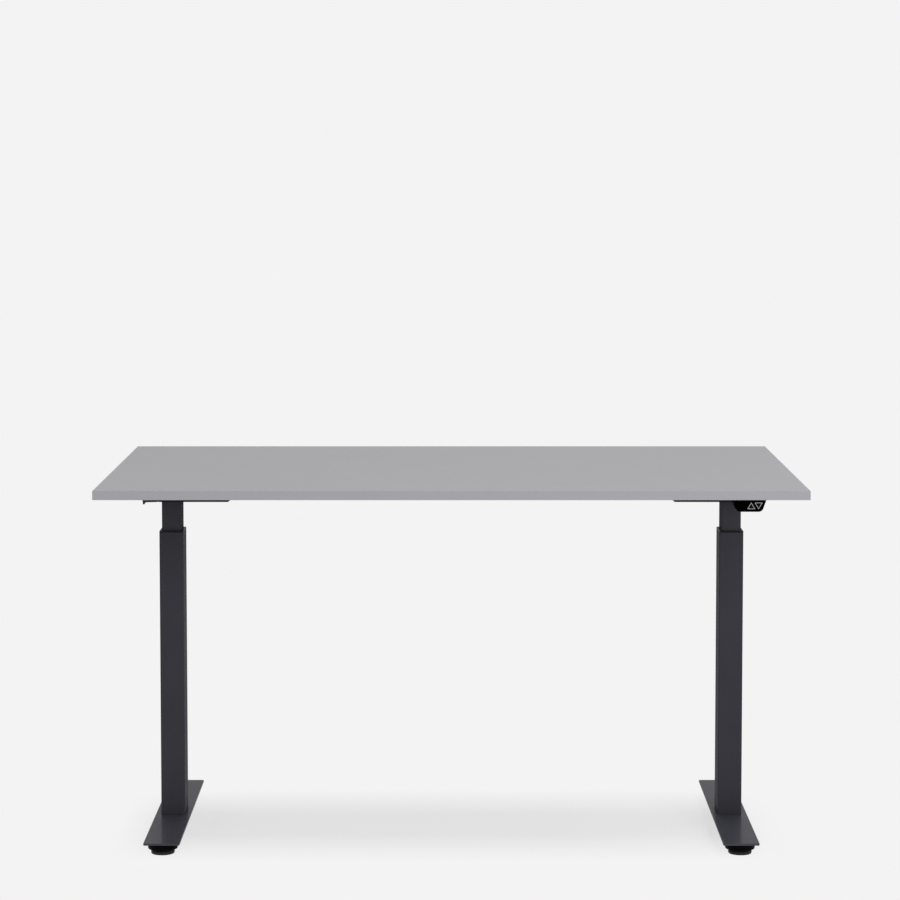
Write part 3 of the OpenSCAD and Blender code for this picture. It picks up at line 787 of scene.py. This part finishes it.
class Maker:
    """Turns meshes into pieces of the desk and gives the solid parts their finish."""

    def __init__(self, frame: dict) -> None:
        """Keeps the solid parts and the body that each belongs to.

        Args:
            frame: The loaded frame.
        """
        self.nodes = frame["nodes"]
        groups = frame["record"]["behaviour"]["bodies"]
        self.body = {node: body for body, members in groups.items() for node in members}

    def piece(self, name: str, bm: BMesh, finish: Finish, body: str,
              replaces: Sequence[str] = ()) -> None:
        """Makes an object of a mesh, and fixes it to its body.

        Args:
            name: The piece's name.
            bm: Its mesh, which is freed.
            finish: Its surface finish.
            body: The moving body that carries it.
            replaces: Solid parts that it is shown for.
        """
        mesh = mesh_of(name, bm)
        mesh.shade_smooth()
        mesh.set_sharp_from_angle(angle=math.radians(CREASE_DEGREES))
        mesh.materials.append(finish.material())
        piece = placed(name, mesh)
        piece.modifiers.new("even_shading", "WEIGHTED_NORMAL").keep_sharp = True
        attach(piece, body)
        if replaces:
            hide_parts(*replaces)
        log.info("%s: %d faces, on %s", name, len(mesh.polygons), body)

    def stand_in(self, node: str, ending: str, bm: BMesh, finish: Finish) -> None:
        """Makes the piece that is shown for one solid part, on that part's body.

        Args:
            node: The solid part.
            ending: What the piece's name adds to the part's.
            bm: The piece's mesh, which is freed.
            finish: Its surface finish.
        """
        self.piece(f"{node}_{ending}", bm, finish, self.body[node], (node,))

    def soften(self, node: str, finish: Finish, radius: float = 0.0004,
               degrees: float = EDGE_DEGREES) -> None:
        """Shows a solid part with its outer edges broken, as a press or a mould leaves them.

        Args:
            node: The solid part.
            finish: Its surface finish.
            radius: How far each edge is rounded, in metres.
            degrees: Edges sharper than this are rounded.
        """
        bm = merged_copy(self.nodes[node])
        round_off(bm, sharp(bm, degrees), radius)
        self.stand_in(node, "soft", bm, finish)

    def dress(self, finish: Finish, *nodes: str) -> None:
        """Gives solid parts that are shown as they are their finish.

        Args:
            finish: The surface finish.
            *nodes: The solid parts.
        """
        for node in nodes:
            part = self.nodes[node]
            part.data.materials.clear()
            part.data.materials.append(finish.material())
            log.info("%s: %s", node, finish.name)


# ---- Sub-assemblies ----


@dataclass
class Desktop:
    """The melamine-faced board with its four edge bands."""

    maker: Maker
    band_edge: float = 0.6 * MM
    edge_steps: int = 3

    def build(self) -> None:
        """Makes the bands and finishes the board."""
        self.maker.dress(LAMINATE, "desktop_board")
        for place in (*End, *Side):
            self.band(f"{place.word}_edge_band")

    def band(self, node: str) -> None:
        """Makes one band, its outer edges run over with a scraper.

        Args:
            node: The solid part.
        """
        low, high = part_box(node)
        bm = block(low, high)
        across = 1 if high.x - low.x > high.y - low.y else 0
        outer = max(low[across], high[across], key=abs)
        rim = edges_where(bm, lambda a, b: abs(a[across] - outer) < SAME_PLANE
                          and abs(b[across] - outer) < SAME_PLANE)
        round_off(bm, rim, self.band_edge, self.edge_steps)
        self.maker.stand_in(node, "strip", bm, BAND)


@dataclass
class Column:
    """One telescopic column with the lifting gear inside it."""

    maker: Maker
    side: Side
    tube_wall: float = 1.5 * MM
    tube_radius: float = 3.0 * MM
    corner_steps: int = 6
    rim: float = 0.35 * MM
    lip_edge: float = 0.3 * MM

    def build(self) -> None:
        """Makes the tubes and finishes what runs inside them."""
        word = self.side.word
        self.tube(f"{word}_outer_tube", COLUMN_PAINT)
        self.tube(f"{word}_inner_tube", SLIDE_PAINT)
        self.maker.soften(f"{word}_guide_collar", GUIDE_PLASTIC, self.lip_edge)
        self.maker.dress(NYLON, f"{word}_slider")
        self.maker.dress(ZINC, f"{word}_push_tube", f"{word}_column_insert")
        self.maker.dress(BRASS, f"{word}_spindle_nut")
        screw = LeadScrew(f"{word}_lead_screw", "bright_steel", "a2a3a6", 0.28,
                          axis_x=axis_point(*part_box(f"{word}_spindle"), 0.0).x)
        self.maker.dress(screw, f"{word}_spindle")

    def tube(self, node: str, finish: Finish) -> None:
        """Makes one tube: rolled corners, open ends and its wall inside.

        Args:
            node: The solid part.
            finish: Its surface finish.
        """
        bm = block(*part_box(node))
        round_off(bm, edges_where(bm, upright), self.tube_radius, self.corner_steps)
        ends = [f for f in bm.faces if abs(f.normal.z) > LEVEL_SHARE]
        bmesh.ops.delete(bm, geom=ends, context="FACES_ONLY")
        bmesh.ops.recalc_face_normals(bm, faces=bm.faces)
        bmesh.ops.solidify(bm, geom=bm.faces, thickness=self.tube_wall)
        round_off(bm, level_rims(bm), self.rim)
        self.maker.stand_in(node, "rolled", bm, finish)


@dataclass
class Foot:
    """One foot: its drilled steel plate with welded studs, and a glide at each end.

    A rounding is given as points, each so far in from the rim and so far from the nearest level
    face, in millimetres.
    """

    maker: Maker
    side: Side
    plate_t: float = 4.0 * MM
    corner: float = 4.0 * MM
    corner_steps: int = 6
    plate_edge: float = 0.5 * MM
    stud_r: float = 5.0 * MM
    stud_steps: int = 24
    thread_pitch: float = 1.5 * MM
    thread_share: float = 0.4
    screw_room: float = 0.25 * MM
    pad_r: float = 23.75 * MM
    pad_h: float = 8.0 * MM
    pad_floor: float = 3.0 * MM
    pad_below: Outline = ((2.2, 0.0), (1.0, 0.3), (0.3, 1.0), (0.0, 2.2))
    pad_above: Outline = ((0.0, 2.6), (0.3, 1.6), (1.1, 0.5), (2.4, 0.0))
    socket_r: float = 12.4 * MM
    socket_edge: float = 0.4 * MM
    wheel_r: float = 30.0 * MM
    wheel_steps: int = 96
    wheel_wall: float = 2.5 * MM
    wheel_low: float = 10.0 * MM
    wheel_top: float = 23.0 * MM
    wheel_below: Outline = ((2.0, 0.0), (0.8, 0.4), (0.15, 1.2), (0.0, 2.2))
    wheel_above: Outline = ((0.0, 0.6), (0.6, 0.05))
    hub_r: float = 12.0 * MM
    hub_floor: float = 2.0 * MM
    hub_edge: float = 0.5 * MM
    fillet: float = 1.0 * MM
    lip: float = 0.3 * MM
    bore_r: float = 5.05 * MM
    bore_edge: float = 0.5 * MM

    def build(self) -> None:
        """Makes the plate and both glides."""
        self.plate()
        for end in End:
            self.pad(end)
            self.wheel(end)

    def plate(self) -> None:
        """Makes the plate, round at its corners and drilled, and the studs under it."""
        node = f"{self.side.word}_foot_plate"
        low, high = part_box(node)
        under = high.z - self.plate_t
        bm = block((low.x, low.y, under), high)
        round_off(bm, edges_where(bm, upright), self.corner, self.corner_steps)
        round_off(bm, level_rims(bm), self.plate_edge)
        self.drill(bm, under, high.z)
        for end in End:
            stud = self.thread(low.z, under)
            take_in(bm, lathe(stud, self.glide_axis(end), self.stud_steps))
        self.maker.piece(f"{self.side.word}_foot_steel", bm, FOOT_PAINT, "base", (node,))

    def drill(self, bm: BMesh, bottom: float, top: float) -> None:
        """Cuts a hole, countersunk from below, for each screw that holds the column.

        Args:
            bm: The plate, whose two flat faces are cut.
            bottom: Height of its lower face, in metres.
            top: Height of its upper face, in metres.
        """
        mouths = {bottom: [], top: []}
        for low, high in islands(self.maker.nodes["foot_screws"]):
            if low.x * self.side.value < 0:
                continue
            head = (high.x - low.x) / 2
            levels = ((head, bottom), (head / 2, bottom + head / 2), (head / 2, top))
            loops = [ring(bm, axis_point(low, high, z), r + self.screw_room)
                     for r, z in levels]
            for one, other in zip(loops, loops[1:]):
                bmesh.ops.bridge_loops(bm, edges=one + other)
            mouths[bottom] += loops[0]
            mouths[top] += loops[-1]
        for z, holes in mouths.items():
            face = next(f for f in bm.faces
                        if all(abs(v.co.z - z) < SAME_PLACE for v in f.verts))
            rim = list(face.edges)
            bmesh.ops.delete(bm, geom=[face], context="FACES_ONLY")
            bmesh.ops.triangle_fill(bm, edges=rim + holes, use_beauty=True, normal=(0, 0, 1))
        bmesh.ops.recalc_face_normals(bm, faces=bm.faces)

    def thread(self, bottom: float, top: float) -> Outline:
        """The studs' outline: grooves a pitch apart, up to the plate.

        Args:
            bottom: Height of the stud's end, in metres.
            top: Height of the plate's lower face, in metres.

        Returns:
            Radius and height of each point.
        """
        pitch = self.thread_pitch
        core = self.stud_r - self.thread_share * pitch
        points = [(0.0, bottom), (core, bottom)]
        z = bottom + pitch
        while z < top - pitch:
            points += [(self.stud_r, z), (core, z + pitch / 2)]
            z += pitch
        return points + [(self.stud_r, top), (0.0, top)]

    def glide(self, end: End, what: str) -> str:
        """The name of one glide's pad or wheel."""
        return f"{end.word}_{self.side.word}_{what}"

    def glide_axis(self, end: End) -> Vector:
        """The floor point under one glide."""
        return axis_point(*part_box(self.glide(end, "pad")), 0.0)

    def pad(self, end: End) -> None:
        """Makes the pad that stands on the floor, with its socket for the wheel's hub.

        Args:
            end: The foot's end that it stands under.
        """
        node = self.glide(end, "pad")
        r, h = self.pad_r, self.pad_h
        profile = [(0.0, 0.0)]
        profile += [(r - away * MM, up * MM) for away, up in self.pad_below]
        profile += [(r - away * MM, h - down * MM) for away, down in self.pad_above]
        profile += [(self.socket_r + self.socket_edge, h), (self.socket_r, h - self.socket_edge),
                    (self.socket_r, self.pad_floor), (0.0, self.pad_floor)]
        self.maker.stand_in(node, "moulded", lathe(profile, self.glide_axis(end)), PAD_PLASTIC)

    def wheel(self, end: End) -> None:
        """Makes the hand wheel: a dished rim on a hub that runs on the stud.

        Args:
            end: The foot's end that it stands under.
        """
        node = self.glide(end, "wheel")
        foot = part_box(node)[0].z
        r, top, rim = self.wheel_r, self.wheel_top, self.wheel_low
        roof, inner = top - self.wheel_wall, r - self.wheel_wall
        profile = [(0.0, foot), (self.hub_r - self.hub_edge, foot),
                   (self.hub_r, foot + self.hub_edge), (self.hub_r, roof - self.fillet),
                   (self.hub_r + self.fillet, roof), (inner - self.fillet, roof),
                   (inner, roof - self.fillet), (inner, rim + self.lip), (inner + self.lip, rim)]
        profile += [(r - away * MM, rim + up * MM) for away, up in self.wheel_below]
        profile += [(r - away * MM, top - down * MM) for away, down in self.wheel_above]
        profile += [(self.bore_r + self.bore_edge, profile[-1][1]),
                    (self.bore_r, top - self.bore_edge), (self.bore_r, foot + self.hub_floor),
                    (0.0, foot + self.hub_floor)]
        bm = lathe(profile, self.glide_axis(end), self.wheel_steps)
        self.maker.stand_in(node, "moulded", bm, WHEEL_PLASTIC)


@dataclass
class Underframe:
    """Arms, rails and trays under the desktop."""

    maker: Maker

    def build(self) -> None:
        """Makes the pressed pieces and the rails."""
        for side in Side:
            for what in ("head_tray", "arm", "beam_plate"):
                self.maker.soften(f"{side.word}_{what}", FRAME_PAINT)
        for end in End:
            self.maker.soften(f"{end.word}_rail", FRAME_PAINT)


class Recess(Enum):
    """What a screw's head is driven by."""

    CROSS = "cross"
    HEX = "hex"


@dataclass(frozen=True)
class Screw:
    """A kind of screw, driven from below: its head, its thread and its recess.

    The shares are of the head's radius, apart from dome_h, of its height, groove, of the pitch,
    and arm_share, of the recess's radius.
    """

    head_h: float
    shank_r: float
    pitch: float
    recess: Recess
    recess_r: float
    recess_depth: float
    sunk: bool = False
    sunk_face: float = 0.97
    sunk_edge: float = 0.02
    dome_turns: Sequence[float] = (70, 45, 20, 0)
    dome_r: float = 0.38
    dome_h: float = 0.45
    flat_ring: float = 0.06
    groove: float = 0.3
    arm_share: float = 0.22
    steps: int = 32

    def build(self, low: Vector, high: Vector) -> BMesh:
        """Makes one screw that fills a box, its head at the bottom.

        Args:
            low: The box's lowest corner.
            high: The box's highest corner.

        Returns:
            The closed form as a bmesh.
        """
        foot = axis_point(low, high, low.z)
        bm = lathe(self.outline((high.x - low.x) / 2, high.z - low.z), foot, self.steps)
        self.cut(bm, foot)
        return bm

    def outline(self, r: float, length: float) -> Outline:
        """The screw's outline, from the rim of its driven face.

        Args:
            r: Radius of its head, in metres.
            length: Its whole length, in metres.

        Returns:
            Radius and height of each point.
        """
        if self.sunk:
            points = [(r * self.sunk_face, 0.0), (r, self.sunk_edge * r)]
        else:
            dome = self.dome_h * self.head_h
            points = [(r * (1 - self.dome_r + self.dome_r * math.cos(a)),
                       dome * (1 - math.sin(a))) for a in map(math.radians, self.dome_turns)]
            face_r = points[0][0]
            points[:1] = [(face_r - self.flat_ring * r, 0.0), (face_r, 0.0)]
            points.append((r, self.head_h))
        points.append((self.shank_r, self.head_h))
        core = self.shank_r - self.groove * self.pitch
        z = self.head_h + self.pitch
        while z < length - 2 * self.pitch:
            points += [(self.shank_r, z), (core, z + self.pitch / 2)]
            z += self.pitch
        return points + [(self.shank_r, length - self.pitch), (self.shank_r / 2, length),
                         (0.0, length)]

    def corners(self) -> list[Vector]:
        """The recess seen from below, round its axis.

        Returns:
            Its corners in order, counted from the axis.
        """
        if self.recess is Recess.HEX:
            return [Vector((c, s, 0)) * self.recess_r for c, s in round_turns(6)]
        half = self.arm_share * self.recess_r
        arm = [(self.recess_r, -half), (self.recess_r, half), (half, half)]
        return [Vector((c * x - s * y, s * x + c * y, 0))
                for c, s in round_turns(4) for x, y in arm]

    def cut(self, bm: BMesh, foot: Vector) -> None:
        """Closes the driven face round its recess, and sinks the recess into the head.

        Args:
            bm: The screw, open at its driven face.
            foot: The middle of that face.
        """
        rim = [e for e in bm.edges if e.is_boundary]
        verts = [bm.verts.new(foot + c) for c in self.corners()]
        mouth = [bm.edges.new(pair) for pair in zip(verts, verts[1:] + verts[:1])]
        bmesh.ops.triangle_fill(bm, edges=rim + mouth, use_beauty=True, normal=(0, 0, -1))
        sunk = bmesh.ops.extrude_edge_only(bm, edges=mouth)["geom"]
        move_points(bm, sunk, (0, 0, self.recess_depth))
        bmesh.ops.triangle_fill(bm, edges=[e for e in sunk if isinstance(e, BMEdge)],
                                use_beauty=True, normal=(0, 0, -1))
        bmesh.ops.recalc_face_normals(bm, faces=bm.faces)


@dataclass
class Fasteners:
    """Every screw that is driven from below, and the bolts across the pressed sheets."""

    maker: Maker
    wood: Screw = Screw(head_h=2.4 * MM, shank_r=2.2 * MM, pitch=1.8 * MM,
                        recess=Recess.CROSS, recess_r=2.5 * MM, recess_depth=1.5 * MM)
    casting: Screw = Screw(head_h=3.0 * MM, shank_r=2.5 * MM, pitch=0.8 * MM,
                           recess=Recess.HEX, recess_r=2.0 * MM, recess_depth=1.8 * MM)
    foot: Screw = Screw(head_h=3.0 * MM, shank_r=3.0 * MM, pitch=1.0 * MM, sunk=True,
                        recess=Recess.HEX, recess_r=2.3 * MM, recess_depth=2.0 * MM)
    bolt_edge: float = 0.35 * MM

    def build(self) -> None:
        """Makes the screws one by one and breaks the corners of the bolts' hexagons."""
        self.screws("desktop_screws", self.wood)
        self.screws("gearbox_screws", self.casting)
        self.screws("foot_screws", self.foot)
        self.maker.soften("frame_bolts", ZINC, self.bolt_edge)

    def screws(self, node: str, kind: Screw) -> None:
        """Makes all the screws of one part.

        Args:
            node: The solid part.
            kind: The kind of screw.
        """
        whole = bmesh.new()
        for low, high in islands(self.maker.nodes[node]):
            take_in(whole, kind.build(low, high))
        self.maker.stand_in(node, "turned", whole, ZINC)


@dataclass
class Drives:
    """The two motors with their gearboxes and bearings."""

    maker: Maker
    casting_edge: float = 0.8 * MM
    can_edge: float = 0.6 * MM

    def build(self) -> None:
        """Makes the castings and cans and finishes the bearings."""
        for side in Side:
            self.maker.soften(f"{side.word}_gearbox", CASTING, self.casting_edge)
            self.maker.soften(f"{side.word}_motor", MOTOR_COAT, self.can_edge)
            self.maker.dress(ZINC, f"{side.word}_bearing")


@dataclass
class ControlBox:
    """The closed box with the electronics, hung under the desktop."""

    maker: Maker
    case_edge: float = 0.6 * MM
    lid_edge: float = 0.5 * MM

    def build(self) -> None:
        """Makes the case and lid and finishes the sockets and the circuit."""
        self.maker.soften("control_case", CONTROL_PLASTIC, self.case_edge)
        self.maker.soften("control_lid", CONTROL_PLASTIC, self.lid_edge)
        self.maker.dress(CONTROL_PLASTIC, "control_sockets", "power_inlet")
        self.maker.dress(BOARD, "control_circuit")


@dataclass
class Handset:
    """The two-key handset at the front edge, with a printed outline on each key."""

    maker: Maker
    case_edge: float = 0.6 * MM
    plate_edge: float = 0.4 * MM
    key_edge: float = 0.25 * MM
    key_degrees: float = 50.0
    key_w: float = 13.4 * MM
    key_h: float = 11.5 * MM
    print_out: float = 0.5 * MM
    print_in: float = 0.45 * MM
    print_t: float = 0.04 * MM

    def build(self) -> None:
        """Makes the case, the keys and their print."""
        self.maker.soften("handset_case", HANDSET_PLASTIC, self.case_edge)
        self.maker.soften("handset_plate", HANDSET_PLASTIC, self.plate_edge)
        self.maker.dress(BOARD, "handset_circuit")
        for key in Key:
            self.maker.soften(f"{key.word}_key", KEY_PLASTIC, self.key_edge, self.key_degrees)
            self.outline(key)

    def corners(self, key: Key, centre: Vector, grow: float) -> list[Vector]:
        """The print's three corners, grown outwards by a margin.

        Args:
            key: The key.
            centre: The middle of its face.
            grow: Distance that each side moves outwards, in metres.

        Returns:
            The corners, in order.
        """
        w, h = self.key_w, self.key_h
        slant = math.hypot(w / 2, h)
        tall = grow * slant / (w / 2)
        wide = grow * (slant + w / 2) / h
        shape = [(-w / 2 - wide, -h / 2 - grow), (w / 2 + wide, -h / 2 - grow),
                 (0.0, h / 2 + tall)]
        return [centre + Vector((x, 0, key.value * z)) for x, z in shape]

    def outline(self, key: Key) -> None:
        """Prints a thin outline on a key's face.

        Args:
            key: The key.
        """
        node = f"{key.word}_key"
        low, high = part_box(node)
        centre = Vector(((low.x + high.x) / 2, low.y, (low.z + high.z) / 2))
        bm = bmesh.new()
        rows = [[bm.verts.new(c) for c in self.corners(key, centre, grow)]
                for grow in (self.print_out, -self.print_in)]
        loops = [bm.edges.new(pair) for row in rows for pair in zip(row, row[1:] + row[:1])]
        made = bmesh.ops.bridge_loops(bm, edges=loops)
        lifted = bmesh.ops.extrude_face_region(bm, geom=made["faces"])
        move_points(bm, lifted["geom"], (0, -self.print_t, 0))
        bmesh.ops.recalc_face_normals(bm, faces=bm.faces)
        self.maker.piece(f"{node}_print", bm, KEY_PRINT, node)


# ---- Studio ----


@dataclass(frozen=True)
class SoftBox:
    """A square soft box turned to the desk: where it hangs, its side in metres, its watts."""

    name: str
    at: Point
    size: float
    power: float
    aim_at: Point = (0.0, 0.0, 0.6)

    def hang(self) -> None:
        """Makes the lamp, which shows in no reflection."""
        light = bpy.data.lights.new(self.name, "AREA")
        light.shape, light.size, light.energy = "SQUARE", self.size, self.power
        lamp = placed(self.name, light)
        lamp.location = self.at
        aim = Vector(self.aim_at) - lamp.location
        lamp.rotation_euler = aim.to_track_quat("-Z", "Y").to_euler()
        lamp.visible_glossy = False


@dataclass
class Studio:
    """Pale floor, soft light and the camera."""

    backdrop: str = "f3f3f3"
    fill: float = 0.6
    shade: float = 0.39
    floor_r: float = 40.0
    floor_steps: int = 96
    floor_gap: float = 0.2 * MM
    shadow_centre: Pair = (0.0, -0.01)
    shadow_full: Pair = (0.5, 0.09)
    shadow_end: Pair = (0.7, 0.31)
    key: SoftBox = SoftBox("soft_key", at=(2.4, -4.2, 2.2), size=2.4, power=110.0)
    top: SoftBox = SoftBox("soft_top", at=(2.0, -0.3, 6.0), size=4.0, power=90.0)
    lens: float = 112.26
    sensor: float = 36.0
    camera_at: Point = (-0.001, -5.832, 1.438)
    tilt: float = 4.127
    shift: Pair = (-0.001, -0.12)

    def build(self) -> None:
        """Sets the stage, the lamps and the camera."""
        self.world()
        self.floor()
        self.key.hang()
        self.top.hang()
        self.camera()
        bpy.context.scene.view_settings.view_transform = "Standard"

    def world(self) -> None:
        """A pale surround, seen and mirrored at full strength, that fills softly."""
        world = bpy.data.worlds.new("studio_surround")
        bpy.context.scene.world = world
        graph = Graph(world)
        rays = graph.add("LightPath").outputs
        seen = rays["Is Camera Ray"]
        for name in ("Is Glossy Ray", "Is Transmission Ray"):
            seen = graph.calc("MAXIMUM", seen, rays[name])
        plain = graph.add("Background", Color=(1.0, 1.0, 1.0, 1.0), Strength=self.fill)
        shown = graph.add("Background", Color=linear(self.backdrop), Strength=1.0)
        graph.add("OutputWorld", Surface=graph.blend_shaders(seen, plain, shown))

    def floor(self) -> None:
        """A wide floor in the surround's colour that takes the desk's soft shadow."""
        bm = bmesh.new()
        bmesh.ops.create_circle(bm, cap_ends=True, segments=self.floor_steps,
                                radius=self.floor_r)
        bmesh.ops.translate(bm, vec=(0, 0, -self.floor_gap), verts=bm.verts)
        mesh = mesh_of("floor", bm)
        mesh.materials.append(self.floor_material())
        floor = placed("floor", mesh)

    def floor_material(self) -> Material:
        """Glows in the surround's colour, and turns matt where the desk's shadow lies.

        Returns:
            The floor's material.
        """
        graph = Graph(bpy.data.materials.new("pale_floor"))
        part = graph.add("SeparateXYZ", Vector=graph.place())
        falls = []
        for i, centre in enumerate(self.shadow_centre):
            off = graph.calc("ABSOLUTE", graph.calc("SUBTRACT", part.outputs[i], centre))
            falls.append(graph.span(off, 1.0, 0.0, self.shadow_full[i], self.shadow_end[i]))
        take = graph.calc("MULTIPLY", graph.calc("MULTIPLY", *falls), self.shade)
        matt = graph.add("BsdfDiffuse", Color=linear(self.backdrop))
        glow = graph.add("Emission", Color=linear(self.backdrop), Strength=1.0)
        return graph.finish(graph.blend_shaders(take, glow, matt))

    def camera(self) -> None:
        """Stands the camera in front of the desk, a little above it."""
        data = bpy.data.cameras.new("camera")
        data.lens, data.sensor_width = self.lens, self.sensor
        data.shift_x, data.shift_y = self.shift
        camera = placed("camera", data)
        camera.location = self.camera_at
        camera.rotation_euler = (math.radians(90.0 - self.tilt), 0.0, 0.0)
        bpy.context.scene.camera = camera


def main() -> None:
    """Loads the solid parts, dresses every sub-assembly and sets the studio."""
    logging.basicConfig(level=logging.INFO, format="%(name)s: %(message)s")
    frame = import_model()
    maker = Maker(frame)
    Studio().build()
    Desktop(maker).build()
    for side in Side:
        Column(maker, side).build()
        Foot(maker, side).build()
    Underframe(maker).build()
    Drives(maker).build()
    Fasteners(maker).build()
    ControlBox(maker).build()
    Handset(maker).build()


if __name__ == "__main__":
    main()
